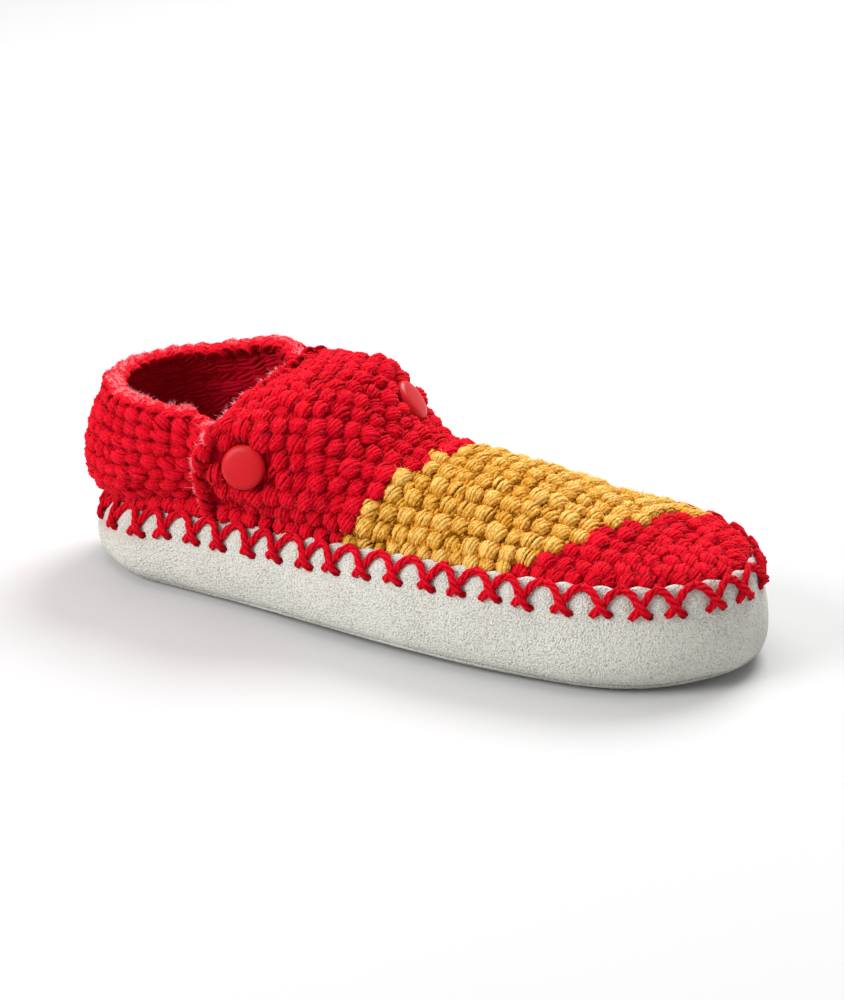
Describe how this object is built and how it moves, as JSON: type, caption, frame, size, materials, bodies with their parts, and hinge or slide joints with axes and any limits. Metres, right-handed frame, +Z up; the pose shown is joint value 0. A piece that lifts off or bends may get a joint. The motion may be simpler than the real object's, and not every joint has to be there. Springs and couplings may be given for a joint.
{
  "type": "knit slipper",
  "caption": "Right-foot knit slipper: suede tub sole, cross-stitched edge, colour-band vamp and a wrap-over instep flap held by snap caps",
  "frame": {"origin": "middle of the bounding box, on the floor", "axes": "+X to the toe, +Y to the inner (medial) side of the foot, +Z up"},
  "size_m": [0.2642, 0.0968, 0.0843],
  "materials": {
    "knit_red": "matte",
    "knit_mustard": "matte",
    "suede_grey": "matte",
    "insole_felt": "matte",
    "snap_plastic": "satin"
  },
  "bodies": {
    "root": {"outsole": "suede_grey", "sole_sidewall": "suede_grey", "insole": "insole_felt", "upper_front": "knit_red", "upper_heel_quarter": "knit_red", "snap_lateral": "snap_plastic", "snap_medial": "snap_plastic"}
  },
  "joints": []
}
